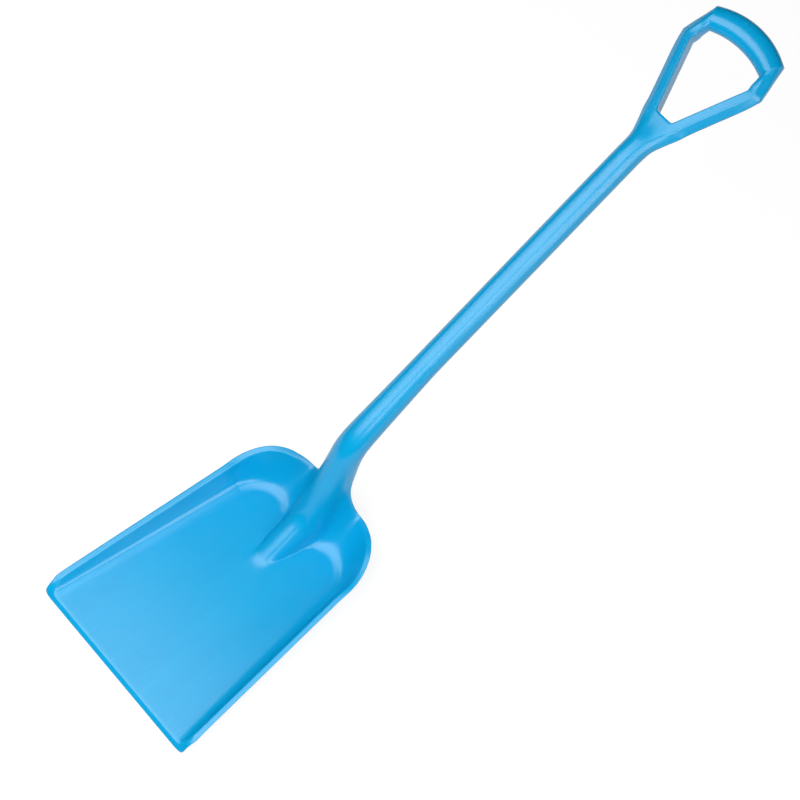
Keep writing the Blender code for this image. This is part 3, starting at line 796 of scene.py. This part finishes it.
grain_group = mould_grain()
flow_group = pigment_flow()
scuff_group = fine_scuffs()
PIGMENT = (0.001, 0.368, 0.705, 1.0)
DEEP_PIGMENT = (0.001, 0.348, 0.675, 1.0)
SCUFFED = (0.09, 0.46, 0.78, 1.0)


def place_group(tree, group, place, **values):
    node = tree.nodes.new("ShaderNodeGroup")
    node.node_tree = group
    tree.links.new(place, node.inputs["Place"])
    for name, value in values.items():
        node.inputs[name.replace("_", " ").title()].default_value = value
    return node


# Grain scale, dullest and glossiest roughness, worn line along the shovel in metres, its reach and how worn.
plastic_values = {
    "blade_plastic": (850.0, 0.255, 0.185, -0.15, 0.12, 0.22),
    "shaft_plastic": (1050.0, 0.250, 0.190, 0.42, 0.20, 0.12),
    "yoke_plastic": (950.0, 0.250, 0.190, 0.66, 0.08, 0.12),
    "bar_plastic": (950.0, 0.240, 0.180, 0.80, 0.06, 0.16),
}


def satin_blue(name):
    """Satin blue plastic: grained, a little streaky in colour and faintly scuffed."""
    grain_scale, dull, glossy, worn_line, reach, amount = plastic_values[name]
    material = bpy.data.materials.new(name)
    material.use_nodes = True
    tree = material.node_tree
    shader = tree.nodes["Principled BSDF"]
    shader.inputs["IOR"].default_value = 1.5
    place = tree.nodes.new("ShaderNodeTexCoord").outputs["Object"]
    grain = place_group(tree, grain_group, place, grain_scale=grain_scale)
    flow = place_group(tree, flow_group, place, pigment=PIGMENT, deep_pigment=DEEP_PIGMENT)
    scuffs = place_group(tree, scuff_group, place, worn_line=worn_line, reach=reach, amount=amount)
    colour = add_node(tree, "ShaderNodeMix", data_type="RGBA")
    colour.inputs[7].default_value = SCUFFED
    tree.links.new(scuffs.outputs["Mask"], colour.inputs[0])
    tree.links.new(flow.outputs["Colour"], colour.inputs[6])
    tree.links.new(colour.outputs[2], shader.inputs["Base Color"])
    gloss = add_node(tree, "ShaderNodeMapRange")
    gloss.inputs["From Min"].default_value = 0.25
    gloss.inputs["From Max"].default_value = 0.75
    gloss.inputs["To Min"].default_value = glossy
    gloss.inputs["To Max"].default_value = dull
    rubbed = add_node(tree, "ShaderNodeMath", operation="MULTIPLY_ADD")
    rubbed.inputs[1].default_value = 0.25
    tree.links.new(grain.outputs["Dulling"], gloss.inputs["Value"])
    tree.links.new(scuffs.outputs["Mask"], rubbed.inputs[0])
    tree.links.new(gloss.outputs[0], rubbed.inputs[2])
    tree.links.new(rubbed.outputs[0], shader.inputs["Roughness"])
    bump = add_node(tree, "ShaderNodeBump")
    bump.inputs["Strength"].default_value = 0.25
    bump.inputs["Distance"].default_value = 0.00006
    tree.links.new(grain.outputs["Height"], bump.inputs["Height"])
    tree.links.new(bump.outputs["Normal"], shader.inputs["Normal"])
    return material


def white_floor():
    """A large pale floor, which the camera and reflections see as white with a faint shadow."""
    bm = bmesh.new()
    bmesh.ops.create_grid(bm, x_segments=1, y_segments=1, size=STUDIO_HALF)
    mesh = bpy.data.meshes.new("floor")
    bm.to_mesh(mesh)
    bm.free()
    floor = bpy.data.objects.new("floor", mesh)
    floor.location.z = cad_low.z - STUDIO_GAP
    bpy.context.scene.collection.objects.link(floor)
    material = bpy.data.materials.new("white_floor")
    material.use_nodes = True
    tree = material.node_tree
    tree.nodes.clear()
    path = tree.nodes.new("ShaderNodeLightPath")
    seen = add_node(tree, "ShaderNodeMath", operation="ADD", use_clamp=True)
    seen_too = add_node(tree, "ShaderNodeMath", operation="ADD", use_clamp=True)
    tree.links.new(path.outputs["Is Camera Ray"], seen.inputs[0])
    tree.links.new(path.outputs["Is Glossy Ray"], seen.inputs[1])
    tree.links.new(seen.outputs[0], seen_too.inputs[0])
    tree.links.new(path.outputs["Is Transmission Ray"], seen_too.inputs[1])
    bounce = add_node(tree, "ShaderNodeBsdfDiffuse")
    bounce.inputs["Color"].default_value = (0.3, 0.3, 0.3, 1.0)
    shadow = add_node(tree, "ShaderNodeBsdfDiffuse")
    shadow.inputs["Color"].default_value = (0.2, 0.2, 0.2, 1.0)
    glow = add_node(tree, "ShaderNodeEmission")
    glow.inputs["Strength"].default_value = 0.85
    shown = tree.nodes.new("ShaderNodeAddShader")
    both = tree.nodes.new("ShaderNodeMixShader")
    out = tree.nodes.new("ShaderNodeOutputMaterial")
    tree.links.new(glow.outputs[0], shown.inputs[0])
    tree.links.new(shadow.outputs[0], shown.inputs[1])
    tree.links.new(seen_too.outputs[0], both.inputs[0])
    tree.links.new(bounce.outputs[0], both.inputs[1])
    tree.links.new(shown.outputs[0], both.inputs[2])
    tree.links.new(both.outputs[0], out.inputs["Surface"])
    mesh.materials.append(material)


def add_softbox(name, corner, across, along, radiance):
    """A soft lamp on the parallelogram from a corner, of this brightness whatever its size."""
    across, along = Vector(across), Vector(along)
    light = bpy.data.lights.new(name, "AREA")
    light.shape = "RECTANGLE"
    light.size = across.length
    light.size_y = along.length
    light.energy = radiance * pi * across.length * along.length
    lamp = bpy.data.objects.new(name, light)
    lamp.location = Vector(corner) + (across + along) / 2
    lamp.visible_camera = False
    facing = across.cross(along).normalized()
    lamp.rotation_euler = Matrix((across.normalized(), along.normalized(), facing)).transposed().to_euler()
    bpy.context.scene.collection.objects.link(lamp)


def add_lights():
    """Soft boxes overhead and on the right of the object."""
    world = bpy.data.worlds.new("studio")
    bpy.context.scene.world = world
    world.use_nodes = True
    surround = world.node_tree.nodes["Background"]
    surround.inputs["Color"].default_value = (1.0, 1.0, 1.0, 1.0)
    surround.inputs["Strength"].default_value = 0.02
    add_softbox("left_softbox", (-3.3, -1.6, 2.2), (1.75, 0, 0), (0, 1.1, 0), 3.0)
    add_softbox("top_softbox", (-1.45, -1.45, 2.2), (2.35, 0, 0), (0, 1.45, 0), 3.9)
    add_softbox("top_front_softbox", (-1.45, -1.75, 2.2), (1.9, 0, 0), (0, 0.3, 0), 3.9)
    add_softbox("top_rear_softbox", (-1.05, 0.0, 2.2), (0.7, 0, 0), (0, 0.38, 0), 3.2)
    add_softbox("middle_rear_softbox", (-0.35, 0.0, 2.2), (1.55, 0, 0), (0, 0.42, 0), 2.2)
    add_softbox("right_top_softbox", (1.14, -1.45, 2.2), (1.81, 0, 0), (0, 0.9, 0), 4.8)
    add_softbox("right_front_softbox", (1.6, -1.75, 2.2), (1.35, 0, 0), (0, 0.3, 0), 4.8)
    add_softbox("right_rear_softbox", (1.8, -0.55, 2.2), (1.1, 0, 0), (0, 1.0, 0), 3.6)
    add_softbox("right_upper_softbox", (3.0, -1.05, 1.62), (0, 1.65, 0), (0, 0, 0.58), 4.8)
    add_softbox("right_middle_softbox", (3.0, -0.45, 0.85), (0, 0.45, 0), (0, 0, 0.77), 4.8)
    add_softbox("right_softbox", (3.0, 0.0, 0.3), (0, 0.75, 0), (0, 0, 1.3), 4.5)


def add_camera():
    camera = bpy.data.cameras.new("photo_camera")
    camera.lens = CAMERA_LENS
    camera.sensor_width = SENSOR_WIDTH
    eye = bpy.data.objects.new("photo_camera", camera)
    eye.location = CAMERA_PLACE
    turn = (CAMERA_AIM - CAMERA_PLACE).to_track_quat("-Z", "Y")
    eye.rotation_euler = (turn @ Quaternion((0.0, 0.0, 1.0), radians(CAMERA_ROLL))).to_euler()
    bpy.context.scene.collection.objects.link(eye)
    bpy.context.scene.camera = eye


add_blade()
add_shaft()
add_yoke()
add_bar()
white_floor()
add_lights()
add_camera()
bpy.context.scene.view_settings.view_transform = "Standard"

bpy.context.view_layer.update()
